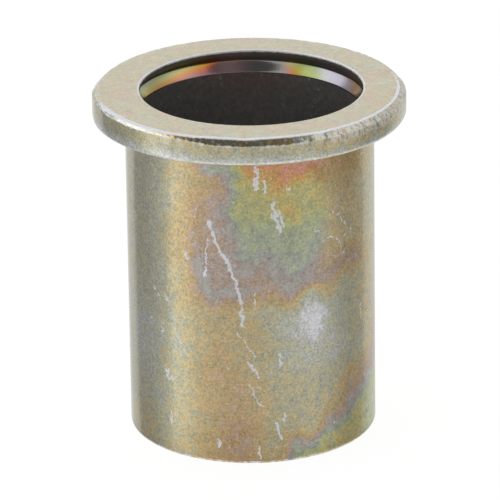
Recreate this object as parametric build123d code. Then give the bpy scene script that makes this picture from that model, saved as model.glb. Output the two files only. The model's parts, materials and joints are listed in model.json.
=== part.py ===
from build123d import *
from math import radians, tan
import os

# Rivet nut, M12, open end, with a round smooth body and a flat flange, in plated steel.
# It is one cold-formed and tapped piece. Millimetres, with +Z along the axis towards the
# flange and the origin at the centre of the tail end, which the nut stands on.

# Driving sizes of the outside
BODY_DIAMETER = 15.9
FLANGE_DIAMETER = 20.0
FLANGE_THICKNESS = 1.75
OVERALL_LENGTH = 22.7
FLANGE_CHAMFER = 0.38
FLANGE_CHAMFER_ROUND = 0.08
FLANGE_UNDER_ROUND = 0.36
SEAT_FILLET = 0.15
TAIL_ROUND = 0.25

# Driving sizes of the chamber, whose thin wall folds up behind the panel when the nut is set
CHAMBER_DIAMETER = 14.0
CHAMBER_FLOOR_ANGLE = 120.0
CHAMBER_FLOOR_ROUND = 0.4
MOUTH_ROUND = 0.08

# Driving sizes of the threaded end, bored to the minor diameter of M12 x 1.75
THREAD_MINOR_DIAMETER = 10.106
THREADED_END_LENGTH = 11.0
TAIL_SINK_DIAMETER = 12.4
TAIL_SINK_ANGLE = 90.0

# Driving sizes of the groove in the chamber's mouth, where the wall was upset into the flange
GROOVE_DEPTH = 0.52
GROOVE_BELOW_FACE = 0.34
GROOVE_OVERHANG_HEIGHT = 0.44
GROOVE_FLANK_HEIGHT = 0.66
GROOVE_LIP_ROUND = 0.06
GROOVE_ROOT_ROUND = 0.14
GROOVE_SHOULDER_ROUND = 0.12

# Largest share of a section's side that the round at one of its ends may take up
MOST_OF_A_SIDE = 0.45

# Radii that follow
body_r = BODY_DIAMETER / 2
flange_r = FLANGE_DIAMETER / 2
chamber_r = CHAMBER_DIAMETER / 2
groove_r = chamber_r + GROOVE_DEPTH
thread_r = THREAD_MINOR_DIAMETER / 2
tail_sink_r = TAIL_SINK_DIAMETER / 2


def cone_height(wide_r, narrow_r, included_angle):
    """Height of a cone that runs between two radii."""
    return (wide_r - narrow_r) / tan(radians(included_angle / 2))


# Heights that follow, from the tail end up
tail_sink_z = cone_height(tail_sink_r, thread_r, TAIL_SINK_ANGLE)
thread_top_z = THREADED_END_LENGTH
chamber_floor_z = thread_top_z + cone_height(chamber_r, thread_r, CHAMBER_FLOOR_ANGLE)
top_z = OVERALL_LENGTH
seat_z = top_z - FLANGE_THICKNESS
groove_lip_z = top_z - GROOVE_BELOW_FACE
groove_root_z = groove_lip_z - GROOVE_OVERHANG_HEIGHT
groove_shoulder_z = groove_root_z - GROOVE_FLANK_HEIGHT


def kept_round(before, corner, after, rounding):
    """The corner's round, or less where a side next to it is too short to carry it."""
    side_in = Vector(*corner) - Vector(*before)
    side_out = Vector(*after) - Vector(*corner)
    room = MOST_OF_A_SIDE * min(side_in.length, side_out.length)
    return min(rounding, room / tan(radians(side_in.get_angle(side_out) / 2)))


def turned_ring(corners):
    """Solid of revolution about +Z from a closed section of (radius, height, round) corners."""
    points = [(radius, height) for radius, height, _ in corners]
    rounds = [
        kept_round(points[i - 1], points[i], points[(i + 1) % len(points)], rounding)
        for i, (_, _, rounding) in enumerate(corners)
    ]
    outline = FilletPolyline(*points, radius=rounds, close=True)
    return revolve(Plane.XZ * make_face(outline), Axis.Z)


def outside_corners():
    """From the tail up the smooth body, out along the seat and over the flange's worn edge."""
    return [
        (body_r, 0, TAIL_ROUND),
        (body_r, seat_z, SEAT_FILLET),
        (flange_r, seat_z, FLANGE_UNDER_ROUND),
        (flange_r, top_z - FLANGE_CHAMFER, FLANGE_CHAMFER_ROUND),
        (flange_r - FLANGE_CHAMFER, top_z, FLANGE_CHAMFER_ROUND),
    ]


def inside_corners():
    """From the mouth down past the groove and the chamber, and through the threaded end."""
    return [
        (chamber_r, top_z, MOUTH_ROUND),
        (chamber_r, groove_lip_z, GROOVE_LIP_ROUND),
        (groove_r, groove_root_z, GROOVE_ROOT_ROUND),
        (chamber_r, groove_shoulder_z, GROOVE_SHOULDER_ROUND),
        (chamber_r, chamber_floor_z, CHAMBER_FLOOR_ROUND),
        (thread_r, thread_top_z, 0),
        (thread_r, tail_sink_z, 0),
        (tail_sink_r, 0, 0),
    ]


rivet_nut = turned_ring(outside_corners() + inside_corners())

os.makedirs("parts", exist_ok=True)
export_step(rivet_nut, "parts/rivet_nut.step")
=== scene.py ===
import bpy
import json
from math import ceil, cos, degrees, hypot, inf, pi, radians, sin, tan
from mathutils import Matrix, Vector, noise


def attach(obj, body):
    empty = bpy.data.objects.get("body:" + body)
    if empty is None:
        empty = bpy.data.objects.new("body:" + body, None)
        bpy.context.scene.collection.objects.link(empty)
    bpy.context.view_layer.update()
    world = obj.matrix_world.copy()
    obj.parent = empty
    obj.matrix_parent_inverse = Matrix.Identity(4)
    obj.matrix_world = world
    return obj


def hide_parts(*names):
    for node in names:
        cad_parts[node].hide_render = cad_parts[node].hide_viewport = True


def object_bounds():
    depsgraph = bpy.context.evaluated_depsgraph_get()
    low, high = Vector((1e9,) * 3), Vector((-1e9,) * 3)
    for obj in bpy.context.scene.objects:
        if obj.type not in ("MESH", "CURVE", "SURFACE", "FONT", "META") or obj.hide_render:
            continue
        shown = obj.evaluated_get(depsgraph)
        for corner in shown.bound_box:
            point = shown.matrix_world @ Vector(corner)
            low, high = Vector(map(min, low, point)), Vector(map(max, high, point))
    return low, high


# Rivet nut in worn iridescent zinc, standing on its tail end. Sizes are in millimetres
# until a mesh is made, heights are from the tail end, and angles round the nut are in
# degrees from its front, which faces -Y, with positive ones to the right.

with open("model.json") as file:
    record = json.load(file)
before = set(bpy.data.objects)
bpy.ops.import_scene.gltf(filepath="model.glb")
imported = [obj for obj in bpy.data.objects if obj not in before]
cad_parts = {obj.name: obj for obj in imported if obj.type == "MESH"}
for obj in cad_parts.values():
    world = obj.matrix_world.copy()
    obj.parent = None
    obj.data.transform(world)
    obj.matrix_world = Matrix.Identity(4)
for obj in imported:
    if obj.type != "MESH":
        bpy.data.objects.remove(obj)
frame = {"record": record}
cad_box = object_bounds()
record = frame["record"]
METRES = 0.001

# The form, as in the solid: what the frame states is read from it
mounts = {mount["name"]: mount for mount in record["mounts"]}
BODY_R = mounts["panel_hole_body"]["dims"]["r_mm"]
CHAMBER_R = mounts["setting_chamber"]["dims"]["r_mm"]
THREAD_MINOR_R = mounts["screw_thread"]["dims"]["r_mm"]
FLANGE_R = cad_box[1][0] / METRES
TOP = mounts["flange_face"]["pos_m"][2] / METRES
SEAT = mounts["panel_seat"]["pos_m"][2] / METRES
CHAMFER = 0.38
CHAMFER_ROUND = 0.08
UNDER_ROUND = 0.36
SEAT_FILLET = 0.15
SEAT_MIDDLE_R = (BODY_R + FLANGE_R) / 2
WORN_RIM = 0.45
FACE_R = FLANGE_R - CHAMFER - WORN_RIM
TAIL_ROUND = 0.25
MOUTH_ROUND = 0.08
MOUTH_END = TOP - 2 * MOUTH_ROUND
GROOVE_R = CHAMBER_R + 0.52
LIP = TOP - 0.34
GROOVE_ROOT = LIP - 0.44
SHOULDER = GROOVE_ROOT - 0.66
GROOVE_END = SHOULDER - 0.06
GROOVE_LIP_ROUND = 0.06
GROOVE_ROOT_ROUND = 0.14
SHOULDER_ROUND = 0.12
CHAMBER_FLOOR_ROUND = 0.4
CHAMBER_FLOOR_HALF_ANGLE = radians(60)
CONE_R = 6.5
THREAD_TOP = 11.0
TAIL_SINK_R = 6.2

# The thread, M12 x 1.75, which only this model has
THREAD_MAJOR_R = 6.0
PITCH = 1.75
CREST_SHARE = 0.25
ROOT_SHARE = 0.125
END_SLACK = 1e-4

# The mesh: how finely it is divided, and the bend from which an edge shades as sharp
COLUMNS = 640
ROUND_STEP = radians(18)
BODY_SIDE = 2.6
RIM_SIDE = 0.12
FACE_SIDE = 0.7
GROOVE_SIDE = 0.17
CHAMBER_SIDE = 2.0
SHARP_ANGLE = radians(32)
FRONT = -pi / 2


# The section of the nut

def rounded(before, corner, after):
    """Points of the arc that rounds a (radius, height, round) corner between its neighbours."""
    at = Vector(corner[:2])
    way_in = (at - Vector(before[:2])).normalized()
    way_out = (Vector(after[:2]) - at).normalized()
    turn = way_in.angle_signed(way_out)
    start = at - way_in * corner[2] * tan(abs(turn) / 2)
    side = 1 if turn < 0 else -1
    centre = start + Vector((-way_in.y, way_in.x)) * corner[2] * side
    arm = start - centre
    steps = ceil(abs(turn) / ROUND_STEP)
    return [centre + Matrix.Rotation(-turn * i / steps, 2) @ arm for i in range(steps + 1)]


def section(corners, longest_side):
    """Points of an open outline, with rounds at its inner corners and no side longer than asked."""
    bends = [[Vector(corners[0][:2])]]
    for before, corner, after in zip(corners, corners[1:], corners[2:]):
        bends.append(rounded(before, corner, after) if corner[2] else [Vector(corner[:2])])
    bends.append([Vector(corners[-1][:2])])
    points = []
    for bend, following in zip(bends, bends[1:] + [None]):
        points += bend
        if following:
            side = following[0] - bend[-1]
            cuts = ceil(side.length / longest_side)
            points += [bend[-1] + side * i / cuts for i in range(1, cuts)]
    return points


def cone_radius(height):
    """Radius of the chamber's conical floor at a height."""
    return THREAD_MINOR_R + (height - THREAD_TOP) * tan(CHAMBER_FLOOR_HALF_ANGLE)


def cone_height(radius):
    """Height of the chamber's conical floor at a radius."""
    return THREAD_TOP + (radius - THREAD_MINOR_R) / tan(CHAMBER_FLOOR_HALF_ANGLE)


CONE_HEIGHT = cone_height(CONE_R)

BODY = section([
    (TAIL_SINK_R, 0, 0),
    (BODY_R, 0, TAIL_ROUND),
    (BODY_R, SEAT, SEAT_FILLET),
    (SEAT_MIDDLE_R, SEAT, 0),
], BODY_SIDE)

RIM = section([
    (SEAT_MIDDLE_R, SEAT, 0),
    (FLANGE_R, SEAT, UNDER_ROUND),
    (FLANGE_R, TOP - CHAMFER, CHAMFER_ROUND),
    (FLANGE_R - CHAMFER, TOP, CHAMFER_ROUND),
    (FACE_R, TOP, 0),
], RIM_SIDE)

FACE = section([
    (FACE_R, TOP, 0),
    (CHAMBER_R, TOP, MOUTH_ROUND),
    (CHAMBER_R, MOUTH_END, 0),
], FACE_SIDE)

GROOVE = section([
    (CHAMBER_R, MOUTH_END, 0),
    (CHAMBER_R, LIP, GROOVE_LIP_ROUND),
    (GROOVE_R, GROOVE_ROOT, GROOVE_ROOT_ROUND),
    (CHAMBER_R, SHOULDER, SHOULDER_ROUND),
    (CHAMBER_R, GROOVE_END, 0),
], GROOVE_SIDE)

CHAMBER = section([
    (CHAMBER_R, GROOVE_END, 0),
    (CHAMBER_R, cone_height(CHAMBER_R), CHAMBER_FLOOR_ROUND),
    (CONE_R, CONE_HEIGHT, 0),
], CHAMBER_SIDE)


# Wear that bends the metal itself: knocks, and the hammered look of the flange's edge

# The marks' length round the edge, their height and their depth, and the layer of the noise
LIP_WAVES = 1.1, inf, 0.035, 0
TEETH = 0.24, 0.9, 0.034, 3
HAMMERED = 0.32, 1.2, 0.06, 7

# Where they are: angles, how quickly they begin and end there, and how far down the side
HAMMERED_FROM, HAMMERED_TO, HAMMERED_RISE, HAMMERED_FALL = 20, 84, 8, 12
TEETH_FROM, TEETH_TO, TEETH_ELSEWHERE = -38, -24, 0.12
SEAM_FADE, WORN_REACH, WORN_FROM = 12, 0.75, SEAT + 0.1

# How a mark's depth goes: its edge, its rise over the rim, and its shares in and down at the top
KNOCK_EDGE, RIM_RISE, INWARD_AT_TOP, DOWN_AT_TOP = 1.3, 1.6, 0.5, 0.8

# Where the chamfer is narrower: angles from and to, the turn over which it narrows, the share
# of its width that is missing there, and how far down the side follows it
NARROW_FROM, NARROW_TO, NARROW_FADE = -102, -10, 22
NARROWED_BY, NARROWED_MORE, NARROWEST_AT = 0.5, 0.22, -56
NARROW_DRAG = 0.95

# How the mouth is wider than the bore, most in one direction, and how far that reaches
MOUTH_WIDER, MOUTH_OFF_CENTRE, MOUTH_WIDEST_AT = 0.13, 0.14, 97
MOUTH_REACH_R = 8.3

# Knocks in the flange: angle, how far under its face, half-width and depth
KNOCKS = [
    (-84, 0.05, 0.34, 0.08), (-75, 0.12, 0.22, 0.05), (-67, 0.06, 0.30, 0.07),
    (-54, 1.20, 0.26, 0.03), (-27, 0.85, 0.40, 0.03), (-2, 0.02, 0.70, 0.07), (8, 0.30, 0.30, 0.03),
    (28.5, 0.24, 0.75, 0.05), (39, 0.45, 0.34, 0.04), (47, 0.30, 0.30, 0.05), (58, 0.55, 0.36, 0.05),
    (106, 0.20, 0.45, 0.05), (151, 1.00, 0.40, 0.04), (-121, 0.70, 0.36, 0.04),
]


def smooth(share):
    """Eases a share of the way, kept between 0 and 1."""
    share = min(1, max(0, share))
    return share * share * (3 - 2 * share)


def knock_depth(angle, height):
    """Depth of the knocks at a place on the flange's edge."""
    deepest = 0
    for knock_angle, under_face, half_width, depth in KNOCKS:
        across = radians(angle - knock_angle) * FLANGE_R / half_width
        along = (height - (TOP - under_face)) / half_width
        deepest = max(deepest, depth * smooth(KNOCK_EDGE - hypot(across, along)))
    return deepest


def dents(across, up, length, height, depth, layer):
    """Depth of a kind of dents at a place, from noise, with none at half of the places."""
    return max(0, noise.noise(Vector((across / length, up / height, layer)))) * depth


def hammer_depth(angle, height):
    """Depth of the small dents that stand in rows along the flange's upper edge."""
    round_edge = radians(angle) * FLANGE_R
    upper = smooth((height - TOP + WORN_REACH) / (WORN_REACH - CHAMFER))
    lip, teeth, hammered = (dents(round_edge, height, *kind) for kind in (LIP_WAVES, TEETH, HAMMERED))
    begun = smooth((angle - HAMMERED_FROM) / HAMMERED_RISE)
    there = begun * smooth((HAMMERED_TO - angle) / HAMMERED_FALL)
    toothed = smooth((angle - TEETH_FROM) / (TEETH_TO - TEETH_FROM))
    toothed = TEETH_ELSEWHERE + (1 - TEETH_ELSEWHERE) * toothed
    off_seam = smooth((180 - abs(angle)) / SEAM_FADE)
    return upper * off_seam * (lip + teeth * toothed + hammered * there)


def narrowed_place(angle, radius, height):
    """Where a point of the full chamfer lies once the chamfer is narrower on the left."""
    there = smooth((angle - NARROW_FROM) / NARROW_FADE) * smooth((NARROW_TO - angle) / NARROW_FADE)
    there = there * (NARROWED_BY + NARROWED_MORE * smooth((NARROWEST_AT - angle) / NARROW_FADE))
    from_rim = FLANGE_R - radius
    from_top = TOP - height
    on_face = smooth((radius - FACE_R) / WORN_RIM) if from_rim > CHAMFER else 1
    on_side = smooth(1 - (from_top - CHAMFER) / NARROW_DRAG)
    outward = min(from_rim, CHAMFER) * on_face * there
    upward = min(from_top, CHAMFER) * on_side * there
    return radius + outward, height + upward


def worn_place(angle, radius, height):
    """Where a point of the flange ends up once its edge is knocked about."""
    if radius < FACE_R or height < WORN_FROM:
        return radius, height
    kept = smooth((radius - FACE_R) / WORN_RIM * RIM_RISE)
    depth = kept * (knock_depth(angle, height) + hammer_depth(angle, height))
    at_top = smooth((height - TOP + CHAMFER) / CHAMFER)
    radius, height = narrowed_place(angle, radius, height)
    return radius - depth * (1 - INWARD_AT_TOP * at_top), height - depth * DOWN_AT_TOP * at_top


def mouth_place(angle, radius, height):
    """Where a point near the mouth lies, as the worn mouth is wider than the bore below it."""
    if radius > MOUTH_REACH_R or height < GROOVE_ROOT:
        return radius, height
    there = smooth((MOUTH_REACH_R - radius) / (MOUTH_REACH_R - CHAMBER_R))
    there = there * smooth((height - GROOVE_ROOT) / (LIP - GROOVE_ROOT))
    wider = MOUTH_WIDER + MOUTH_OFF_CENTRE * cos(radians(angle - MOUTH_WIDEST_AT))
    return radius + wider * there, height


# The thread, and the closed mesh of the whole nut

def thread_outline():
    """(height within one turn, radius) of the tapped thread's crest, flanks and root."""
    crest = PITCH * CREST_SHARE
    root = PITCH * ROOT_SHARE
    flank = (PITCH - crest - root) / 2
    middle_r = (THREAD_MINOR_R + THREAD_MAJOR_R) / 2
    return [
        (0, THREAD_MINOR_R),
        (crest, THREAD_MINOR_R),
        (crest + flank / 2, middle_r),
        (crest + flank, THREAD_MAJOR_R),
        (crest + flank + root, THREAD_MAJOR_R),
        (PITCH - flank / 2, middle_r),
    ]


def tapped_radius(height, cut_radius):
    """Radius of the threaded end where the tap cut, the conical floor or the tail's sink opens it."""
    return max(cut_radius, cone_radius(height), TAIL_SINK_R - height)


def column_angle(column):
    """Angle of a column of the mesh from the front, in degrees between -180 and 180."""
    angle = 360 * column / COLUMNS
    return angle - 360 if angle > 180 else angle


def ring_points(radius, height):
    """One ring of the mesh, round the axis, in metres."""
    ring = []
    for column in range(COLUMNS):
        turn = FRONT + 2 * pi * column / COLUMNS
        angle = column_angle(column)
        at = mouth_place(angle, *worn_place(angle, radius, height))
        ring.append(Vector((at[0] * cos(turn), at[0] * sin(turn), at[1])) * METRES)
    return ring


def turned_faces(rings, finish):
    """Quads between one ring and the next, as (corners, finish)."""
    faces = []
    for low, high in zip(rings, rings[1:]):
        for column in range(COLUMNS):
            following = (column + 1) % COLUMNS
            faces.append(((low + column, low + following, high + following, high + column), finish))
    return faces


def thread_faces(points, tail_ring, floor_ring, finish):
    """The helical strip between the tail's sink and the conical floor, as (corners, finish)."""
    outline = thread_outline()
    turns = ceil(CONE_HEIGHT / PITCH) + 1
    rows = [(PITCH * turn + height, radius) for turn in range(-1, turns) for height, radius in outline]
    ends = CONE_HEIGHT * END_SLACK
    grid = []
    for column in range(COLUMNS):
        lift = PITCH * column / COLUMNS
        angle = FRONT + 2 * pi * column / COLUMNS
        line = []
        for row_height, cut_radius in rows:
            height = row_height + lift
            if height <= ends:
                line.append(tail_ring + column)
            elif height >= CONE_HEIGHT - ends:
                line.append(floor_ring + column)
            else:
                radius = tapped_radius(height, cut_radius)
                points.append(Vector((radius * cos(angle), radius * sin(angle), height)) * METRES)
                line.append(len(points) - 1)
        grid.append(line)
    per_turn = len(outline)
    faces = []
    for column in range(COLUMNS):
        here = grid[column]
        beside = grid[column + 1] if column + 1 < COLUMNS else grid[0][per_turn:]
        for row in range(len(beside) - 1):
            loop = (here[row], here[row + 1], beside[row + 1], beside[row])
            corners = tuple(dict.fromkeys(loop))
            if len(corners) > 2:
                faces.append((corners, finish))
    return faces


def placed(name, data):
    """A new object, put in the scene."""
    added = bpy.data.objects.new(name, data)
    bpy.context.collection.objects.link(added)
    return added


def make_nut(finishes):
    """The closed nut, with its finishes in the order outside, groove, inside."""
    outside, groove, inside = range(3)
    points = []
    rings = []
    faces = []
    finished = ((BODY, outside), (RIM, outside), (FACE, outside), (GROOVE, groove), (CHAMBER, inside))
    for outline, finish in finished:
        first = max(0, len(rings) - 1)
        for place in outline[1:] if rings else outline:
            rings.append(len(points))
            points += ring_points(place.x, place.y)
        faces += turned_faces(rings[first:], finish)
    faces += thread_faces(points, rings[0], rings[-1], inside)
    mesh = bpy.data.meshes.new("rivet_nut_turned")
    mesh.from_pydata(points, [], [corners for corners, _ in faces])
    for finish in finishes:
        mesh.materials.append(finish)
    mesh.polygons.foreach_set("material_index", [finish for _, finish in faces])
    mesh.polygons.foreach_set("use_smooth", [True] * len(faces))
    mesh.set_sharp_from_angle(angle=SHARP_ANGLE)
    mesh.validate()
    return placed("rivet_nut_turned", mesh)


# Shader graphs written as sums

# The curve from a screen's levels to light, as its standard states it
SCREEN_WHITE = 255
SCREEN_KNEE, SCREEN_SLOPE = 0.04045, 12.92
SCREEN_OFFSET, SCREEN_POWER = 0.055, 2.4


def paint(red, green, blue):
    """A colour as it is read off a screen, 0 to 255, in the renderer's linear values."""
    def linear(level):
        share = level / SCREEN_WHITE
        if share <= SCREEN_KNEE:
            return share / SCREEN_SLOPE
        return ((share + SCREEN_OFFSET) / (1 + SCREEN_OFFSET)) ** SCREEN_POWER
    return (linear(red), linear(green), linear(blue), 1)


# The middle of a noise's values and of a ramp, the detail of ragged edges, and the relief's
# height, a hundredth of a millimetre
NOISE_MIDDLE, RAMP_MIDDLE, RAGGED_DETAIL, RELIEF_METRES = 0.5, 0.5, 3.0, 0.00001


def operator(operation, swapped=False):
    """What one of Python's operators does on a value: it adds a node."""
    def combined(value, other):
        a, b = (other, value) if swapped else (value, other)
        return value.graph.combine(operation, a, b)
    return combined


class Value:
    """A shader socket that Python's operators act on, each adding its own node."""

    def __init__(self, graph, socket):
        self.graph = graph
        self.socket = socket

    __add__ = operator("ADD")
    __radd__ = operator("ADD", swapped=True)
    __sub__ = operator("SUBTRACT")
    __rsub__ = operator("SUBTRACT", swapped=True)
    __mul__ = operator("MULTIPLY")
    __rmul__ = operator("MULTIPLY", swapped=True)
    __truediv__ = operator("DIVIDE")


class Graph:
    """The nodes of one material or of the world."""

    def __init__(self, owner):
        owner.use_nodes = True
        self.tree = owner.node_tree
        self.tree.nodes.clear()

    def node(self, kind, settings=None, inputs=None, output=0):
        """Adds a node: its settings first, then the values or links of its sockets."""
        node = self.tree.nodes.new("ShaderNode" + kind)
        for name, setting in (settings or {}).items():
            if name == "stops":
                self.set_stops(node.color_ramp, setting)
            else:
                setattr(node, name, setting)
        for key, value in (inputs or {}).items():
            if isinstance(value, Value):
                self.tree.links.new(value.socket, node.inputs[key])
            else:
                node.inputs[key].default_value = value
        return Value(self, node.outputs[output]) if node.outputs else node

    def set_stops(self, ramp, stops):
        ramp.elements.remove(ramp.elements[0])
        for index, (place, colour) in enumerate(stops):
            stop = ramp.elements[0] if index == 0 else ramp.elements.new(place)
            stop.position = place
            stop.color = colour

    def combine(self, operation, a, b):
        """One sum on two numbers or two vectors."""
        vector = any(isinstance(side, Value) and side.socket.type == "VECTOR" for side in (a, b))
        kind = "VectorMath" if vector else "Math"
        return self.node(kind, {"operation": operation}, {0: a, 1: b})

    def number(self, operation, a, b=0.0):
        return self.node("Math", {"operation": operation}, {0: a, 1: b})

    def scaled(self, vector, factor):
        return self.node("VectorMath", {"operation": "SCALE"}, {0: vector, "Scale": factor})

    def dot(self, a, b):
        return self.node("VectorMath", {"operation": "DOT_PRODUCT"}, {0: a, 1: b}, output=1)

    def length(self, vector):
        return self.node("VectorMath", {"operation": "LENGTH"}, {0: vector}, output=1)

    def hypotenuse(self, a, b):
        return self.number("SQRT", a * a + b * b)

    def parts(self, vector):
        return [self.node("SeparateXYZ", None, {0: vector}, output=axis) for axis in range(3)]

    def size_of(self, value):
        """A number without its sign."""
        return self.number("ABSOLUTE", value)

    def fade(self, value, low, high, start=0.0, end=1.0):
        """Runs smoothly from start to end as the value goes from low to high."""
        settings = {"interpolation_type": "SMOOTHSTEP"}
        return self.node("MapRange", settings, {0: value, 1: low, 2: high, 3: start, 4: end})

    def turn(self, angle, span, start=0.0, end=1.0):
        """Runs smoothly from start to end as an angle goes through a span in degrees."""
        return self.fade(angle, radians(span[0]), radians(span[1]), start, end)

    def mix(self, share, a, b, how="MIX"):
        settings = {"data_type": "RGBA", "blend_type": how}
        return self.node("Mix", settings, {0: share, 6: a, 7: b}, output=2)

    def shaded(self, colour, level):
        """A colour made lighter or darker by a factor."""
        grey = self.node("CombineXYZ", None, {0: level, 1: level, 2: level})
        return self.mix(1.0, colour, grey, how="MULTIPLY")

    def clouds(self, place, size, detail=2.0, roughness=0.5, curl=0.0):
        """Soft noise about 0, whose forms are about size millimetres across."""
        inputs = {"Vector": place, "Scale": 1 / size, "Detail": detail, "Roughness": roughness,
                  "Distortion": curl}
        return self.node("TexNoise", None, inputs) - NOISE_MIDDLE

    def shaken(self, place, point, size, reach):
        """A place on the unrolled skin, moved about so that what is drawn there has ragged edges."""
        inputs = {"Vector": point, "Scale": 1 / size, "Detail": RAGGED_DETAIL}
        noise_colour = self.node("TexNoise", None, inputs, output=1)
        settings = {"operation": "MULTIPLY_ADD"}
        inputs = {0: noise_colour, 1: (2 * reach, 2 * reach, 0), 2: (-reach, -reach, 0)}
        return place + self.node("VectorMath", settings, inputs)

    def brushed(self, point, along, stretch):
        """A point pulled together along a line, so that noise there runs out into streaks."""
        way = Vector(along).normalized()
        return point - self.scaled(way, self.dot(point, way) * (1 - 1 / stretch))

    def oval(self, place, centre, half_size, turn, softness):
        """1 in the middle of an oval, fading smoothly to 0 at its edge."""
        inputs = {"Vector": place, "Location": (*centre, 0), "Rotation": (0, 0, radians(turn)),
                  "Scale": (*half_size, 1)}
        inside = self.node("Mapping", {"vector_type": "TEXTURE"}, inputs)
        return self.fade(self.length(inside), 1 - softness, 1, 1, 0)

    def shelf(self, place, angle, height, direction, width):
        """0 behind a line on the body, rising to 1 over a width past it, in a direction in degrees."""
        way = (cos(radians(direction)), sin(radians(direction)), 0)
        return self.fade(self.dot(place - (*on_skin(angle, height), 0), way), 0, width)

    def stroke(self, place, start, end, width):
        """1 along a straight stroke, fading to 0 at half its width from it."""
        run = Vector((*end, 0)) - Vector((*start, 0))
        from_start = place - (*start, 0)
        along = self.node("Clamp", None, {0: self.dot(from_start, run / run.length_squared)})
        foot = self.scaled(run, along)
        return self.fade(self.length(from_start - foot), 0, width / 2, 1, 0)

    def level_at(self, angle, levels, half_turn=180):
        """A number read off (degrees, level) pairs by an angle from -half_turn to half_turn."""
        stops = [(at / (2 * half_turn) + RAMP_MIDDLE, (level, level, level, 1)) for at, level in levels]
        place = angle * (degrees(1) / (2 * half_turn)) + RAMP_MIDDLE
        return self.node("ValToRGB", {"stops": stops}, {0: place}) * 1.0

    def highest(self, values):
        top = values[0]
        for value in values[1:]:
            top = self.number("MAXIMUM", top, value)
        return top


class Zinc(Graph):
    """The nodes of one of the nut's finishes, and where a point of the nut is, in millimetres."""

    def __init__(self, name):
        self.material = bpy.data.materials.new(name)
        super().__init__(self.material)
        metres = self.node("TexCoord", None, None, output=3)
        self.point = self.scaled(metres, 1 / METRES)
        x, y, self.height = self.parts(self.point)
        self.angle = self.number("ARCTAN2", x, 0 - y)
        self.radius = self.hypotenuse(x, y)
        self.skin = self.node("CombineXYZ", None, {0: self.angle * BODY_R, 1: self.height})
        self.from_back = self.number("ARCTAN2", x, y)
        self.off_front = self.size_of(self.angle)

    def noise(self, *kind):
        """Noise of a kind, as its size, detail, roughness and curl, at the point."""
        return self.clouds(self.point, *kind)

    def up(self, none, full, start=0, end=1):
        """Runs smoothly from start to end over a span of heights."""
        return self.fade(self.height, none, full, start, end)

    def across(self, span, start=0, end=1):
        """Runs smoothly from start to end over a span of angles from the front."""
        return self.turn(self.angle, span, start, end)

    def blend(self, **shares):
        """A sum of the finish's parts that are named, each times its share."""
        return sum(getattr(self, name) * share for name, share in shares.items())

    def finished(self, colour, metallic, roughness, relief, strength):
        """The material, once the surface shader has its colour, its metal and its relief."""
        bump = {"Strength": strength, "Distance": RELIEF_METRES, "Height": relief}
        normal = self.node("Bump", None, bump)
        inputs = {"Base Color": colour, "Metallic": metallic, "Roughness": roughness, "Normal": normal}
        shader = self.node("BsdfPrincipled", None, inputs)
        self.node("OutputMaterial", None, {"Surface": shader})
        return self.material


# The zinc finish: a clear film over bright zinc, whose colour comes from its thickness

FILM_COLOURS = [(thickness, paint(*rgb)) for thickness, *rgb in (
    (0.00, 236, 236, 238), (0.06, 214, 215, 208), (0.12, 203, 203, 185), (0.17, 202, 199, 171),
    (0.22, 206, 195, 158), (0.27, 210, 191, 147), (0.32, 211, 184, 137), (0.37, 204, 178, 149),
    (0.42, 195, 177, 165), (0.47, 187, 181, 175), (0.52, 183, 187, 172), (0.58, 186, 192, 163),
    (0.64, 192, 197, 152), (0.70, 201, 197, 142), (0.76, 210, 190, 127), (0.82, 217, 176, 110),
    (0.90, 221, 156, 128), (1.00, 190, 160, 163),
)]
FACE_BEIGE = paint(212, 200, 178)
FACE_PINK = paint(216, 194, 182)
FACE_GREEN = paint(202, 206, 186)
WORN_ZINC = paint(242, 244, 250)

# Where the film over the body is thicker or thinner, as ovals: angle, height, half-width in
# degrees, half-height, turn, softness of the edge and the change in thickness
FILM_OVER_BODY = 0.19
FILM_OVALS = [
    (-13, 5.5, 27, 9.5, 0, 1, 0.13), (-4, 2.2, 20, 4.5, 0, 1, 0.07),
    (-10, 0, 44, 3.4, 0, 1, 0.08), (-29, 15.5, 14, 7.5, 0, 0.7, 0.10),
    (-36, 8.5, 7, 2.5, 0, 1, -0.05), (-22, 12.8, 13, 2.9, 0, 1, 0.13),
    (-8, 11.2, 14, 1.6, 0, 1, 0.07), (-12, 17.5, 8, 3, 0, 1, -0.08),
    (16, 17, 12, 2.2, 0, 1, 0.06), (20, 13.4, 15, 2.6, 0, 0.8, 0.08),
    (30, 8.5, 27, 4, 0, 0.7, -0.08), (27.7, 9.2, 11.5, 1.8, 0, 1, -0.18),
    (68, 10.5, 12, 4.5, 0, 1, 0.05), (72, 1.8, 16, 4, 0, 1, -0.12),
    (-60, 1, 24, 3.4, 0, 1, 0.10), (-62, 8, 22, 4.5, 0, 1, -0.05),
    (120, 14, 40, 6, 10, 0.8, 0.22), (138, 4, 30, 5, 20, 0.8, 0.07),
    (-112, 10, 30, 7, -15, 0.8, 0.20), (-140, 18.5, 26, 3.4, 0, 0.8, 0.14),
]

# The film's clouds: their size, their strength in front and behind, and the radians from the
# front over which that begins. Ragged borders, as size and reach. Where the back is plain
CLOUD_SIZE, CLOUDS_IN_FRONT, CLOUDS_BEHIND, BEHIND = 5.0, 0.06, 0.6, (1.3, 2.0)
BORDERS, PLAIN_BACK = ((2.0, 1.6), (0.5, 0.2)), (132, 177)

# Where the film changes across a line: angle and height of a place on the line, direction,
# width and the change
FILM_SHELVES = [
    (-40, 10, 180, 0.9, -0.05),
    (28, 3.4, -54, 2.2, 0.22),
    (28, 2.2, -66, 2.1, 0.31),
]

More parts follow.
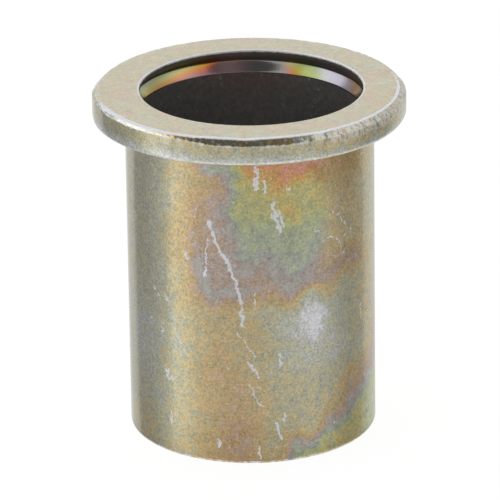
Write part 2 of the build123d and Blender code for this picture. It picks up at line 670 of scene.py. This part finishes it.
# The thick film under the flange, on the front and the right of the body. Its lower edge and
# the start of its thicker part are lines as above, its left edge is wide, and its right ends
THICK_LOWER, THICK_LOWER_CHANGE = (5, 10.3, 96, 1.8), 0.22
THICK_UPPER_HEIGHTS, THICK_UPPER_CHANGE = (12.2, 18.4), 0.31
THICK_LEFT, THICK_RIGHT, THICK_END = (-36, 15, -10, 4.8), (29, 16, 0, 1.8), (56, 14, 0, 1.8)
THINNED_HEIGHTS, THINNED_SHARE = (12.4, 14.8), 0.70

# Fields of thicker or deeper film under the flange and at the foot: heights, then the angles of
# the left edge and of the right one, and what they add on the front, on the right and to the
# colour's depth
FIELDS = [
    ((18.2, 20.5), (-18, 2), None, 0.20, 0, 0),
    ((19.2, 20.4), (-40, -26), (-18, 2), 0.16, 0, 0),
    ((17.4, 19.4), None, None, 0, 0.06, 0),
    ((17.4, 19.4), (28, 40), (52, 66), 0, 0, 0.42),
    ((4.0, 1.2), (-46, -26), (14, 30), 0, 0, 0.30),
]

# Scuffs on the body, as strokes from place to place: width, strength, then angles and heights
SCUFFS = [
    (0.34, 0.9, (3.1, 20.5), (2.8, 20), (3, 19.6)), (0.50, 1, (3, 19.6), (2.1, 19), (2.6, 18.8)),
    (0.40, 0.9, (6.4, 19.3), (6.3, 18.8), (5.7, 18.5)), (0.34, 0.8, (16.8, 18.7), (17.4, 18.6)),
    (0.40, 0.9, (9.9, 17.9), (10.3, 17.4), (11.9, 16.9)),
    (0.42, 1, (9.4, 17), (11.4, 16.6), (14, 15.8)),
    (0.32, 0.8, (12.6, 17.3), (13.5, 16.9), (15, 16.2)), (0.46, 1, (-19.3, 16.5), (-18.7, 16)),
    (0.36, 1, (-18.4, 16), (-16.9, 15.3), (-14.6, 14.6)),
    (0.44, 1, (-14.6, 14.6), (-11.7, 14), (-9.6, 13.4), (-7.8, 12.6)),
    (0.36, 1, (-7.6, 12.5), (-6.2, 11.8), (-4.7, 11)),
    (0.34, 0.9, (-4.4, 10.8), (-4.6, 9.9), (-4.1, 9.4)),
    (0.26, 0.7, (-20.2, 15.2), (-20.8, 14.3), (-21.5, 13.1)),
    (0.34, 0.8, (-21.4, 13.2), (-22.3, 12.7), (-21, 12.8)), (0.40, 0.8, (-31.1, 14.1), (-30.6, 13.8)),
    (0.20, 0.6, (2.4, 12.1), (1.6, 11.5), (0.5, 10.7)),
    (0.16, 0.6, (-6.9, 9.1), (-3.5, 8.5), (1.9, 7.3)), (0.30, 0.8, (-2.2, 7.1), (0.6, 6.5), (2.6, 6)),
    (0.24, 0.7, (-1.3, 5.6), (-0.2, 4.9), (2, 4.3), (3.6, 4)), (0.22, 0.6, (-0.9, 5.3), (3.4, 5.2)),
    (0.36, 0.8, (10.4, 2.7), (11.2, 2.1), (13, 1.7)), (0.34, 0.9, (2.9, 1.2), (2.7, 0.8), (3, 0.4)),
    (0.40, 0.7, (-15.9, 1.6), (-15.2, 1.2)), (0.34, 0.7, (12.4, 7.5), (12.9, 7.1), (13.2, 6.7)),
    (0.50, 0.7, (14.3, 3.4), (14.4, 2.9)), (0.55, 0.5, (-45.4, 8.9), (-45.6, 8.1)),
    (0.70, 0.6, (-43.6, 5.9), (-42.6, 5.2), (-40.2, 5.3)), (0.45, 0.6, (-44.3, 10.9), (-42.3, 10.5)),
    (0.40, 0.5, (-50.5, 11), (-47.6, 10.5)), (0.30, 0.6, (-41.2, 12.2), (-40.4, 12.1)),
    (0.36, 0.6, (-41.5, 2.9), (-40.8, 1.9)), (0.34, 0.5, (-54.2, 9), (-52, 8.7)),
    (0.16, 0.6, (30, 15.6), (34, 15.2), (38, 15.3)),
    (0.18, 0.6, (34, 14.6), (39, 14.9), (44, 14.5), (46, 13.9)),
    (0.14, 0.6, (40, 16.4), (45, 16), (49, 15.2)), (0.16, 0.6, (38, 13.6), (44, 13.3), (51, 13.6)),
    (0.14, 0.5, (47, 14.4), (52, 14.9), (56, 14.2)), (0.30, 0.5, (60.6, 9.3), (61, 8.4)),
    (0.30, 0.8, (95, 17), (99, 15.2), (98, 13)), (0.24, 0.8, (140, 9), (150, 7.4), (153, 5.9)),
    (0.34, 0.8, (-128, 6.5), (-122, 5.2), (-123, 3.8)), (0.24, 0.7, (-95, 17.5), (-91, 16)),
    (0.28, 0.8, (168, 16), (164, 14.1), (157, 13.2)),
]

# How ragged a scuff is: size and reach of its shaking, its lumps and its fine grain as size,
# detail and roughness, and how strong they are
SCUFF_SHAKEN = (0.35, 0.3)
SCUFF_LUMPS = (0.24, 3.0, 0.6)
SCUFF_GRAIN = (0.12, 2.0)
LUMP_SHARE, SCUFF_LEVEL, GRAIN_SHARE = 2.2, 0.85, 1.2

# The curling marks: their size, detail, roughness and curl, the size of their gaps, how seen
# they are, and where they are dense
CURLS, CURL_GAPS = (0.45, 1.0, 0.5, 1.4), 0.7
CURLS_FAINT, CURLS_DENSER = 0.10, 0.30
CURLS_DENSE_AT = ((45, 15.0), (2.6, 2.8), 0, 0.7)


def on_skin(angle, height):
    """A place on the unrolled body, in millimetres."""
    return (radians(angle) * BODY_R, height)


def thick_film(zinc, place):
    """Extra thickness of the film on the front, then on the right, and how far right a place is."""
    height = zinc.parts(place)[1]
    left, right, end = (zinc.shelf(place, *edge) for edge in (THICK_LEFT, THICK_RIGHT, THICK_END))
    lower = zinc.shelf(place, *THICK_LOWER) * THICK_LOWER_CHANGE * (1 - end)
    upper = zinc.fade(height, *THICK_UPPER_HEIGHTS, 0, THICK_UPPER_CHANGE)
    thinned = zinc.fade(height, *THINNED_HEIGHTS, 0, THINNED_SHARE)
    return (lower + upper) * left, lower * (1 - thinned), right


def film_fields(zinc, place):
    """What the fields add to the film on the front, on the right, and to its colour's depth."""
    around, height, _ = zinc.parts(place)
    added = [0, 0, 0]
    for heights, left, right, *changes in FIELDS:
        there = zinc.fade(height, *heights)
        if left:
            there = there * zinc.turn(around / BODY_R, left)
        if right:
            there = there * zinc.turn(around / BODY_R, right, 1, 0)
        added = [so_far + there * change if change else so_far for so_far, change in zip(added, changes)]
    return added


def body_film(zinc):
    """Thickness of the film on the body's front and on its right, how they mix, and its depth."""
    place = zinc.skin
    for size, reach in BORDERS:
        place = zinc.shaken(place, zinc.point, size, reach)
    strength = CLOUDS_IN_FRONT + zinc.fade(zinc.off_front, *BEHIND) * CLOUDS_BEHIND
    film = FILM_OVER_BODY + zinc.noise(CLOUD_SIZE) * strength
    changes = []
    for angle, height, half_width, half_height, turn, softness, change in FILM_OVALS:
        half_size = (radians(half_width) * BODY_R, half_height)
        changes.append(zinc.oval(place, on_skin(angle, height), half_size, turn, softness) * change)
    for *shelf, change in FILM_SHELVES:
        changes.append(zinc.shelf(place, *shelf) * change)
    front, right, share = thick_film(zinc, place)
    field_front, field_right, depth = film_fields(zinc, place)
    changed = sum(changes)
    drawn = 1 - zinc.turn(zinc.off_front, PLAIN_BACK)
    on_front = film + (changed + front + field_front) * drawn
    on_right = film + (changed + right + field_right) * drawn
    return on_front, on_right, share * drawn, depth * drawn


def scuffing(zinc):
    """1 where the body's finish is scuffed down to pale zinc."""
    place = zinc.shaken(zinc.skin, zinc.point, *SCUFF_SHAKEN)
    strokes = []
    for width, strength, *marks in SCUFFS:
        for start, end in zip(marks, marks[1:]):
            strokes.append(zinc.stroke(place, on_skin(*start), on_skin(*end), width) * strength)
    lumps = zinc.noise(*SCUFF_LUMPS) * LUMP_SHARE
    grain = zinc.noise(*SCUFF_GRAIN) * GRAIN_SHARE
    return zinc.fade(zinc.highest(strokes) + lumps, low=0.34, high=0.62) * (SCUFF_LEVEL + grain)


def curls(zinc):
    """Thin curling marks, dense on the right of the body and faint elsewhere."""
    thin = zinc.fade(zinc.size_of(zinc.noise(*CURLS)), low=0.035, high=0.008)
    broken = zinc.fade(zinc.noise(CURL_GAPS), low=-0.10, high=0.10)
    centre, half_size, turn, softness = CURLS_DENSE_AT
    dense = zinc.oval(zinc.skin, on_skin(*centre), half_size, turn, softness)
    return thin * broken * (CURLS_FAINT + dense * CURLS_DENSER)


# Wear of the edges: how far inside the nut it lies, how far off the lip it ends and from where
# it is full, its strength at the mouth, and how patchy it is
LIP_INSET, MOUTH_INSET, TAIL_INSET = 0.12, 0.03, 0.08
LIP_REACH, MOUTH_WEAR = (0.24, 0.12), 0.85
WEAR_PATCHES, WEAR_PATCH_SHARE = (0.4, 3.0, 0.6), 1.4

# Spans of angles where the lip is more worn and where its wear gets thinner, and where the mouth
# is less worn
LIP_WORN_FROM, LIP_WORN_TO, LIP_WEAR_ELSEWHERE = (-82, -58), (106, 86), 0.45
LIP_THINS, LIP_REACH_LOST = (20, 75), (0.08, 0.06)
MOUTH_LESS_WORN, MOUTH_WEAR_LOST = (82, 58), 0.35

# The fine scratches: two ways that they run, with their stretch, width and detail
UPRIGHT_SCRATCHES = (0.25, 0.15, 1), 12, 0.12, 1.0
SLANTED_SCRATCHES = (0.9, 0.5, 0.7), 10, 0.14, 1.0
SCRATCHED_SIZE = 2.5


def chamfer_width(zinc):
    """Width of the chamfer round the nut, less where it is narrower."""
    begun = zinc.across((NARROW_FROM, NARROW_FROM + NARROW_FADE))
    there = begun * zinc.across((NARROW_TO, NARROW_TO - NARROW_FADE))
    narrowest = zinc.across((NARROWEST_AT, NARROWEST_AT - NARROW_FADE))
    return CHAMFER - there * (NARROWED_BY + narrowest * NARROWED_MORE) * CHAMFER


def edge_wear(zinc):
    """1 where the edges are rubbed down to pale zinc."""
    def near(radius, height, none, full, worn):
        from_edge = zinc.hypotenuse(zinc.radius - radius, zinc.height - height)
        return zinc.fade(from_edge, none, full) * worn
    width = chamfer_width(zinc)
    thinner = zinc.across(LIP_THINS)
    lip_reach = [reach - thinner * lost for reach, lost in zip(LIP_REACH, LIP_REACH_LOST)]
    lip_worn = zinc.across(LIP_WORN_FROM) * zinc.turn(zinc.off_front, LIP_WORN_TO)
    lip_worn = LIP_WEAR_ELSEWHERE + lip_worn * (1 - LIP_WEAR_ELSEWHERE)
    off_centre = zinc.number("COSINE", zinc.angle - radians(MOUTH_WIDEST_AT)) * MOUTH_OFF_CENTRE
    mouth_r = off_centre + (CHAMBER_R + MOUTH_WIDER + MOUTH_INSET)
    mouth_worn = MOUTH_WEAR - zinc.turn(zinc.off_front, MOUTH_LESS_WORN) * MOUTH_WEAR_LOST
    rubbed = zinc.highest([
        near(FLANGE_R - LIP_INSET - width, TOP, *lip_reach, worn=lip_worn),
        near(FLANGE_R, TOP - width, none=0.12, full=0.05, worn=0.55),
        near(mouth_r, TOP - MOUTH_INSET, none=0.15, full=0.07, worn=mouth_worn),
        near(FLANGE_R, SEAT, none=0.60, full=0.26, worn=0.42),
        near(BODY_R - TAIL_INSET, TAIL_INSET, none=0.26, full=0.10, worn=0.55),
    ])
    return zinc.fade(rubbed + zinc.noise(*WEAR_PATCHES) * WEAR_PATCH_SHARE, low=0.42, high=0.80)


def fine_scratches(zinc):
    """Thin pale lines in two directions, as handling leaves them."""
    lines = [zinc.clouds(zinc.brushed(zinc.point, way, stretch), *kind)
             for way, stretch, *kind in (UPRIGHT_SCRATCHES, SLANTED_SCRATCHES)]
    where = zinc.fade(zinc.noise(SCRATCHED_SIZE), low=0, high=0.14)
    return zinc.fade(zinc.highest(lines), low=0.17, high=0.24) * where


# Kinds of unevenness of the outside: size, detail, roughness and curl of their noise
SPECKLE = (0.15, 2.0, 0.6)
PEBBLES = (0.34, 2.0, 0.6, 1.2)
MOTTLE = (0.6, 3.0, 0.65)
PATCHES = (2.2, 2.0)
TINTS = (1.4, 3.0, 0.6)
TEETH_MARKS, TEETH_STRETCH = (0.2, 2.0), 6

# Where the flange's parts are: spans of heights, and of angles
FLANGE_BEGINS = (SEAT - 0.1, SEAT + 0.2)
FACE_BEGINS = (TOP - 0.06, TOP - 0.01)
CHAMFER_BEGINS = (TOP - 0.06, TOP + 0.06)
LOW_BAND = (SEAT + 1.05, SEAT + 0.30)
NEAR_LIP = (TOP - 0.9, TOP - 0.3)
BEATEN_HEIGHTS = (TOP - 1.3, TOP - 0.6)
HAMMERED_BEGINS, HAMMERED_ENDS = (18, 34), (135, 100)
TOOTHED_BEGINS, TOOTHED_ENDS, TOOTHED_ELSEWHERE = (-40, -18), (165, 130), 0.1
SIDES_BEGIN = (12, 34)

# The film over the flange and its chamfer, where the chamfer is tinted, and where it is calmer
FLANGE_FILM, CHAMFER_THINNER, CHAMFER_THICKER = 0.20, 0.11, 0.20
CHAMFER_TINTED_AT, CHAMFER_TINTED = -8, (38, 16)
CALM_HEIGHTS, CALM_SHARE = (9.5, 13), 0.6
FACE_TINT_EDGE, FACE_TINT_CORE = 0.02, 0.16

# How worn the scratches, the ticks along the lip and what is beaten pale are, and the painted shade in
# the gaps between the hammered marks
SCRATCH_WEAR, TICK_WEAR, BEATEN_WEAR, GAP_PAINTED_SHADE = 0.35, 0.35, 0.5, 0.4

# The outside's level, with painted shade that makes it darker at the foot, its roughness and its relief
OUTSIDE_LEVEL, FOOT_TOP, FOOT_PAINTED_SHADE = 0.985, 1.2, 0.88
OUTSIDE_ROUGHNESS, OUTSIDE_RELIEF, INSIDE_RELIEF = 0.15, 0.6, 0.3


class Outside(Zinc):
    """The outside's finish: where the flange's parts are, and the kinds of unevenness."""

    def __init__(self, name):
        super().__init__(name)
        self.flange = self.up(*FLANGE_BEGINS)
        self.face = self.up(*FACE_BEGINS)
        off_face = 1 - self.face
        self.speckle, self.pebbles, self.mottle, self.patches, self.tints = (
            self.noise(*kind) for kind in (SPECKLE, PEBBLES, MOTTLE, PATCHES, TINTS))
        self.chamfer = self.fade(self.height + chamfer_width(self), *CHAMFER_BEGINS) * off_face
        self.low = self.up(*LOW_BAND)
        self.sides = self.turn(self.off_front, SIDES_BEGIN) * off_face
        self.hammered = self.across(HAMMERED_BEGINS) * self.across(HAMMERED_ENDS)
        self.hammered_side = self.hammered * off_face
        self.near_lip = self.up(*NEAR_LIP) * off_face
        toothed = self.across(TOOTHED_BEGINS, TOOTHED_ELSEWHERE)
        toothed = toothed * self.across(TOOTHED_ENDS, TOOTHED_ELSEWHERE)
        upright = self.brushed(self.point, (0, 0, 1), TEETH_STRETCH)
        self.teeth = self.clouds(upright, *TEETH_MARKS) * toothed


def flange_film(zinc):
    """Thickness of the film over the flange."""
    film = zinc.blend(patches=0.14, face=-0.02, sides=-0.02, low=-0.13, hammered_side=0.05)
    film = film + zinc.chamfer * (zinc.blend(hammered=0.09) - CHAMFER_THINNER)
    off_tinted = zinc.size_of(zinc.angle - radians(CHAMFER_TINTED_AT))
    tinted = zinc.turn(off_tinted, CHAMFER_TINTED) * zinc.chamfer
    film = film + tinted * (zinc.blend(tints=0.9) + CHAMFER_THICKER)
    return film + zinc.hammered * zinc.blend(tints=0.25) + FLANGE_FILM


def film_colour(zinc):
    """Colour of the film over the body and the flange."""
    on_front, on_right, right, deep = body_film(zinc)
    calm = zinc.up(*CALM_HEIGHTS, 1, CALM_SHARE)
    uneven = calm * zinc.blend(mottle=0.38) + zinc.blend(pebbles=0.12, speckle=-0.24)
    common = flange_film(zinc) * zinc.flange + uneven * (1 - zinc.blend(face=0.3))
    colours = []
    for on_body in (on_front, on_right):
        film = on_body * (1 - zinc.flange) + common
        colours.append(zinc.node("ValToRGB", {"stops": FILM_COLOURS}, {0: film}))
    colour = zinc.mix(right, *colours)
    return zinc.mix(deep * (1 - zinc.flange), colour, colour, how="MULTIPLY")


def face_tints(zinc, colour):
    """The colour with the face's beige, pink and green over it."""
    colour = zinc.mix(zinc.blend(face=0.45), colour, FACE_BEIGE)
    for tint, side in ((FACE_PINK, 1), (FACE_GREEN, -1)):
        there = zinc.fade(zinc.tints, FACE_TINT_EDGE * side, FACE_TINT_CORE * side)
        colour = zinc.mix(there * zinc.blend(face=0.6), colour, tint)
    return colour


def outside_wear(zinc):
    """How far the outside is worn down to pale zinc."""
    on_body = 1 - zinc.flange
    ticks = zinc.fade(zinc.teeth, low=0.04, high=0.18) * zinc.near_lip
    beaten = zinc.up(*BEATEN_HEIGHTS) * zinc.hammered_side
    beaten = beaten + zinc.blend(pebbles=0.8, speckle=1.2, teeth=0.6)
    return zinc.highest([
        scuffing(zinc) * on_body,
        edge_wear(zinc),
        fine_scratches(zinc) * SCRATCH_WEAR,
        curls(zinc) * on_body,
        ticks * (zinc.blend(hammered=0.3) + TICK_WEAR),
        zinc.fade(beaten, low=0.5, high=1.3) * BEATEN_WEAR,
    ])


def outside_finish():
    """Film colours, grain, scuffs and rubbed edges of the body and the flange."""
    zinc = Outside("zinc_outside")
    colour = face_tints(zinc, film_colour(zinc))
    grain = zinc.blend(speckle=0.75, pebbles=0.5, mottle=0.7) * (1 - zinc.blend(face=0.45))
    # Painted shade: the gaps between the hammered marks near the lip are darkened
    gaps = zinc.fade(zinc.teeth, low=-0.03, high=-0.16) * zinc.near_lip * zinc.hammered
    # Painted shade: the colour is darker towards the foot, up to FOOT_TOP above the tail end
    level = (OUTSIDE_LEVEL + grain) * zinc.up(0, FOOT_TOP, FOOT_PAINTED_SHADE) * (1 - gaps * GAP_PAINTED_SHADE)
    zinc.worn = outside_wear(zinc)
    colour = zinc.mix(zinc.worn, zinc.shaded(colour, level), WORN_ZINC)
    metallic = 1 - zinc.blend(worn=0.3)
    roughness = OUTSIDE_ROUGHNESS + zinc.blend(mottle=0.08, worn=0.30, face=0.14)
    relief = zinc.blend(speckle=0.6, pebbles=0.4, worn=-0.5) + zinc.near_lip * zinc.blend(teeth=2.5)
    return zinc.finished(colour, metallic, roughness, relief, OUTSIDE_RELIEF)


# Thickness of the film along the groove's root, by angle from the back
FILM_IN_GROOVE = [
    (-88, 0.42), (-75, 0.50), (-62, 0.57), (-51, 0.62), (-37, 0.69), (-24, 0.76), (-12, 0.96),
    (4, 0.98), (16, 0.84), (21, 0.72), (27, 0.63), (35, 0.57), (42, 0.52), (51, 0.46), (60, 0.42),
    (70, 0.32), (88, 0.42),
]
GROOVE_HALF_TURN = 90

# Down the groove's flank it is thicker by this, less so on the right, and it is a little uneven
FILM_DOWN_FLANK, LESS_ON_RIGHT = 0.25, 0.8
GROOVE_CLOUDS, GROOVE_CLOUD_SHARE = (1.5, 2.0), 0.10

# Where the groove's parts are, as spans of angles from the back
GROOVE_SEEN, GROOVE_LEFT = (135, 100), (-20, -40)
GROOVE_RIGHT, GROOVE_FAR_RIGHT = (14, 36), (34, 46)
GROOVE_MIDDLE_AT, GROOVE_MIDDLE, GROOVE_GREY_FROM = 2.5, (24, 12), (-8, 6)

# How deep the film's colour is there, where it turns lilac, and the plain grey at the back
GROOVE_DEPTH = 0.9
LILAC_FROM_FILM, LILAC_TO_FILM, LILAC_SHARE = (0.38, 0.45), (0.60, 0.52), 0.75
PALE_LILAC = paint(168, 164, 181)
GROOVE_GREY = paint(150, 148, 142)

# The painted shade, a dull brown, on the band under the lip's overhang, and the groove's surface
UNDER_LIP = (GROOVE_ROOT - 0.05, GROOVE_ROOT + 0.12)
UNDER_LIP_PAINTED_SHADE = paint(104, 92, 84)
GROOVE_GRAIN, GROOVE_ROUGHNESS = (0.2, 2.0), 0.16


def groove_film(zinc, seen):
    """Thickness of the film in the groove."""
    film = zinc.level_at(zinc.from_back, FILM_IN_GROOVE, GROOVE_HALF_TURN)
    right = zinc.turn(zinc.from_back, GROOVE_RIGHT) * seen
    down_flank = zinc.up(GROOVE_ROOT, SHOULDER, 0, FILM_DOWN_FLANK)
    clouds = zinc.noise(*GROOVE_CLOUDS) * GROOVE_CLOUD_SHARE
    return film + down_flank * (1 - right * LESS_ON_RIGHT) + clouds


def groove_finish():
    """Strong rainbow film in the groove, which handling never reaches."""
    zinc = Zinc("zinc_groove")
    seen = zinc.turn(zinc.size_of(zinc.from_back), GROOVE_SEEN)
    film = groove_film(zinc, seen)
    colour = zinc.node("ValToRGB", {"stops": FILM_COLOURS}, {0: film})
    off_middle = zinc.size_of(zinc.from_back - radians(GROOVE_MIDDLE_AT))
    middle = zinc.turn(off_middle, GROOVE_MIDDLE)
    zinc.left = zinc.turn(zinc.from_back, GROOVE_LEFT) * seen
    zinc.far_right = zinc.turn(zinc.from_back, GROOVE_FAR_RIGHT) * seen
    deep = (GROOVE_DEPTH - zinc.blend(left=0.85, far_right=0.5)) * (1 - middle)
    colour = zinc.mix(deep, colour, colour, how="MULTIPLY")
    lilac = zinc.fade(film, *LILAC_FROM_FILM) * zinc.fade(film, *LILAC_TO_FILM) * zinc.far_right
    colour = zinc.mix(lilac * LILAC_SHARE, colour, PALE_LILAC)
    grey = zinc.turn(zinc.from_back, GROOVE_GREY_FROM) * middle
    colour = zinc.mix(grey, colour, GROOVE_GREY)
    zinc.under_lip = zinc.up(*UNDER_LIP)
    # Painted shade: the band under the lip's overhang is mixed towards dull brown
    colour = zinc.mix(zinc.blend(under_lip=0.8), colour, UNDER_LIP_PAINTED_SHADE)
    zinc.grain = zinc.noise(*GROOVE_GRAIN)
    roughness = GROOVE_ROUGHNESS + zinc.blend(grain=0.1, under_lip=0.2)
    return zinc.finished(colour, 1 - zinc.blend(under_lip=0.5), roughness, zinc.grain, INSIDE_RELIEF)


# The inside's two greys, its grain and swirls, and its ruddy patch at the back
INSIDE_GREYS = paint(158, 158, 154), paint(150, 146, 143)
INSIDE_GRAIN, INSIDE_SWIRL = (0.3, 3.0), (4.0, 2.0)
RUDDY, RUDDY_ANGLES = paint(168, 118, 112), (40, 5)
RUDDY_HEIGHTS = (GROOVE_END - 2.4, GROOVE_END)

# The dust in it, as specks in patches, and the inside's surface
DUST, DUST_SPECKS, DUST_PATCHES = paint(225, 222, 214), (0.16, 1.0), 1.6
INSIDE_METAL, INSIDE_ROUGHNESS = 0.8, 0.38


def inside_finish():
    """Dull grey film deep in the bore, with a little dust."""
    zinc = Zinc("zinc_inside")
    zinc.grain = zinc.noise(*INSIDE_GRAIN)
    colour = zinc.mix(NOISE_MIDDLE + zinc.noise(*INSIDE_SWIRL), *INSIDE_GREYS)
    zinc.ruddy = zinc.turn(zinc.size_of(zinc.from_back), RUDDY_ANGLES) * zinc.up(*RUDDY_HEIGHTS)
    colour = zinc.mix(zinc.blend(ruddy=0.4), colour, RUDDY)
    dusty = zinc.fade(zinc.noise(DUST_PATCHES), low=-0.05, high=0.15)
    zinc.dust = zinc.fade(zinc.noise(*DUST_SPECKS), low=0.16, high=0.24) * dusty
    colour = zinc.mix(zinc.blend(dust=0.6), colour, DUST)
    colour = zinc.shaded(colour, 1 + zinc.blend(grain=0.8))
    metallic = INSIDE_METAL - zinc.blend(dust=0.6)
    roughness = INSIDE_ROUGHNESS + zinc.blend(grain=0.1)
    return zinc.finished(colour, metallic, roughness, zinc.grain, INSIDE_RELIEF)


nut = make_nut([outside_finish(), groove_finish(), inside_finish()])
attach(nut, "root")
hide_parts("rivet_nut")


# The table, the studio and the camera

FLOOR_HALF = 0.4
FLOOR_GLOW = 1.1
FLOOR_GLOW_SHARE = 0.85
FLOOR_WHITE = (0.8, 0.8, 0.8, 1)
WHITE = (1, 1, 1, 1)

# What the upright walls mirror, round the horizon: azimuth from the front, and level
HORIZON = [
    (-180, 0.90), (-166, 0.79), (-158, 0.65), (-139, 0.60), (-135, 0.36), (-112, 0.40), (-98, 0.49),
    (-85, 0.66), (-79, 0.95), (-66, 0.94), (-52, 0.75), (-30, 0.65), (0, 0.61), (60, 0.65), (74, 0.59),
    (100, 0.41), (116, 0.44), (127, 0.50), (132, 0.66), (150, 0.72), (168, 0.70), (180, 0.90),
]

# The tent above them and the table below: levels, and the degrees of elevation where they begin,
# higher on the right of the tent
TENT, TENT_BEGINS = 0.95, (14, 38)
TENT_RISE_ON_RIGHT, TENT_RISE = 9, (0.1, 0.6)
TABLE, TABLE_BEGINS = 0.90, (-27, -56)

# The softbox: its direction, the cosines over which it begins, and how much brighter it is
SOFTBOX = Vector((-0.76, 0.1, 0.6)).normalized()
SOFTBOX_BEGINS, SOFTBOX_GAIN = (0.90, 0.955), 0.6

# The dark opening: its four edges in parts of the direction, and how much light it takes
OPENING_RIGHT, OPENING_LEFT, OPENING_SLANT = (0.54, 0.45), (-0.62, -0.555), 0.46
OPENING_BOTTOM, OPENING_BACK = (0.26, 0.36), (0.22, 0.10)
OPENING_PALER, OPENING_LEFT_SHARE, OPENING_RIGHT_SHARE = (-0.05, 0.40), 0.86, 0.77


def floor_finish():
    """Plain white that shows as white, with a soft share of the nut's shadow."""
    material = bpy.data.materials.new("floor_white")
    graph = Graph(material)
    lit = graph.node("BsdfDiffuse", None, {"Color": FLOOR_WHITE})
    glow = graph.node("Emission", None, {"Color": WHITE, "Strength": FLOOR_GLOW})
    seen = graph.node("LightPath", None, None, output=0)
    surface = graph.node("MixShader", None, {0: seen * FLOOR_GLOW_SHARE, 1: lit, 2: glow})
    graph.node("OutputMaterial", None, {"Surface": surface})
    return material


def make_floor():
    sides = ((-1, -1), (1, -1), (1, 1), (-1, 1))
    corners = [(x * FLOOR_HALF, y * FLOOR_HALF, 0) for x, y in sides]
    mesh = bpy.data.meshes.new("floor")
    mesh.from_pydata(corners, [], [(0, 1, 2, 3)])
    mesh.materials.append(floor_finish())
    floor = placed("floor", mesh)
    floor.visible_glossy = False
    return floor


make_floor()


def studio_light():
    """A white light tent over a white table, with a softbox on the left and a dark opening above."""
    world = bpy.data.worlds.new("studio")
    bpy.context.scene.world = world
    graph = Graph(world)
    way = graph.node("TexCoord", None, None, output=0)
    x, y, z = graph.parts(way)
    level = graph.level_at(graph.number("ARCTAN2", x, 0 - y), HORIZON)
    elevation = graph.number("ARCSINE", z) * degrees(1)
    rise = graph.fade(x, *TENT_RISE, 0, TENT_RISE_ON_RIGHT)
    upward = graph.fade(elevation - rise, *TENT_BEGINS)
    level = level * (1 - upward) + TENT * upward
    downward = graph.fade(elevation, *TABLE_BEGINS)
    level = level * (1 - downward) + TABLE * downward
    softbox = graph.fade(graph.dot(way, SOFTBOX), *SOFTBOX_BEGINS)
    opening = graph.fade(x, *OPENING_RIGHT) * graph.fade(x + y * OPENING_SLANT, *OPENING_LEFT)
    opening = opening * graph.fade(z, *OPENING_BOTTOM) * graph.fade(y, *OPENING_BACK)
    darkness = graph.fade(x, *OPENING_PALER, OPENING_LEFT_SHARE, OPENING_RIGHT_SHARE)
    level = (level + softbox * SOFTBOX_GAIN) * (1 - opening * darkness)
    camera_sees = graph.node("LightPath", None, None, output=0)
    level = camera_sees + (1 - camera_sees) * level
    light = graph.node("Background", None, {"Color": WHITE, "Strength": level})
    graph.node("OutputWorld", None, {"Surface": light})


studio_light()

# The camera, set up as the photograph's: its elevation and roll, its distance and focal
# length, and where the middle of the nut lies in the frame
ELEVATION, ROLL = radians(21.45), radians(0.771)
DISTANCE = 324.85
FRAME_PIXELS, FOCAL_PIXELS = 500, 5043.7
MIDDLE_IN_FRAME = (251.18, 253.06)
SENSOR_WIDTH = 36.0
CLIP_START, CLIP_END = 0.01, 10


def make_camera():
    middle = Vector((0, 0, TOP / 2))
    towards_camera = Vector((0, -cos(ELEVATION), sin(ELEVATION)))
    right = Vector((1, 0, 0))
    up = towards_camera.cross(right)
    scale = DISTANCE / FOCAL_PIXELS
    off_right, off_down = ((at - FRAME_PIXELS / 2) * scale for at in MIDDLE_IN_FRAME)
    eye = middle + towards_camera * DISTANCE
    aim = middle - right * off_right + up * off_down
    back = (eye - aim).normalized()
    level_right = up.cross(back).normalized()
    level_up = back.cross(level_right)
    rolled_right = level_right * cos(ROLL) - level_up * sin(ROLL)
    rolled_up = level_up * cos(ROLL) + level_right * sin(ROLL)
    axes = Matrix((rolled_right, rolled_up, back)).transposed().to_4x4()
    data = bpy.data.cameras.new("camera")
    data.sensor_width = SENSOR_WIDTH
    data.lens = FOCAL_PIXELS / FRAME_PIXELS * SENSOR_WIDTH
    data.clip_start = CLIP_START
    data.clip_end = CLIP_END
    camera = placed("camera", data)
    camera.matrix_world = Matrix.Translation(eye * METRES) @ axes
    bpy.context.scene.camera = camera


make_camera()
bpy.context.scene.view_settings.view_transform = "Standard"
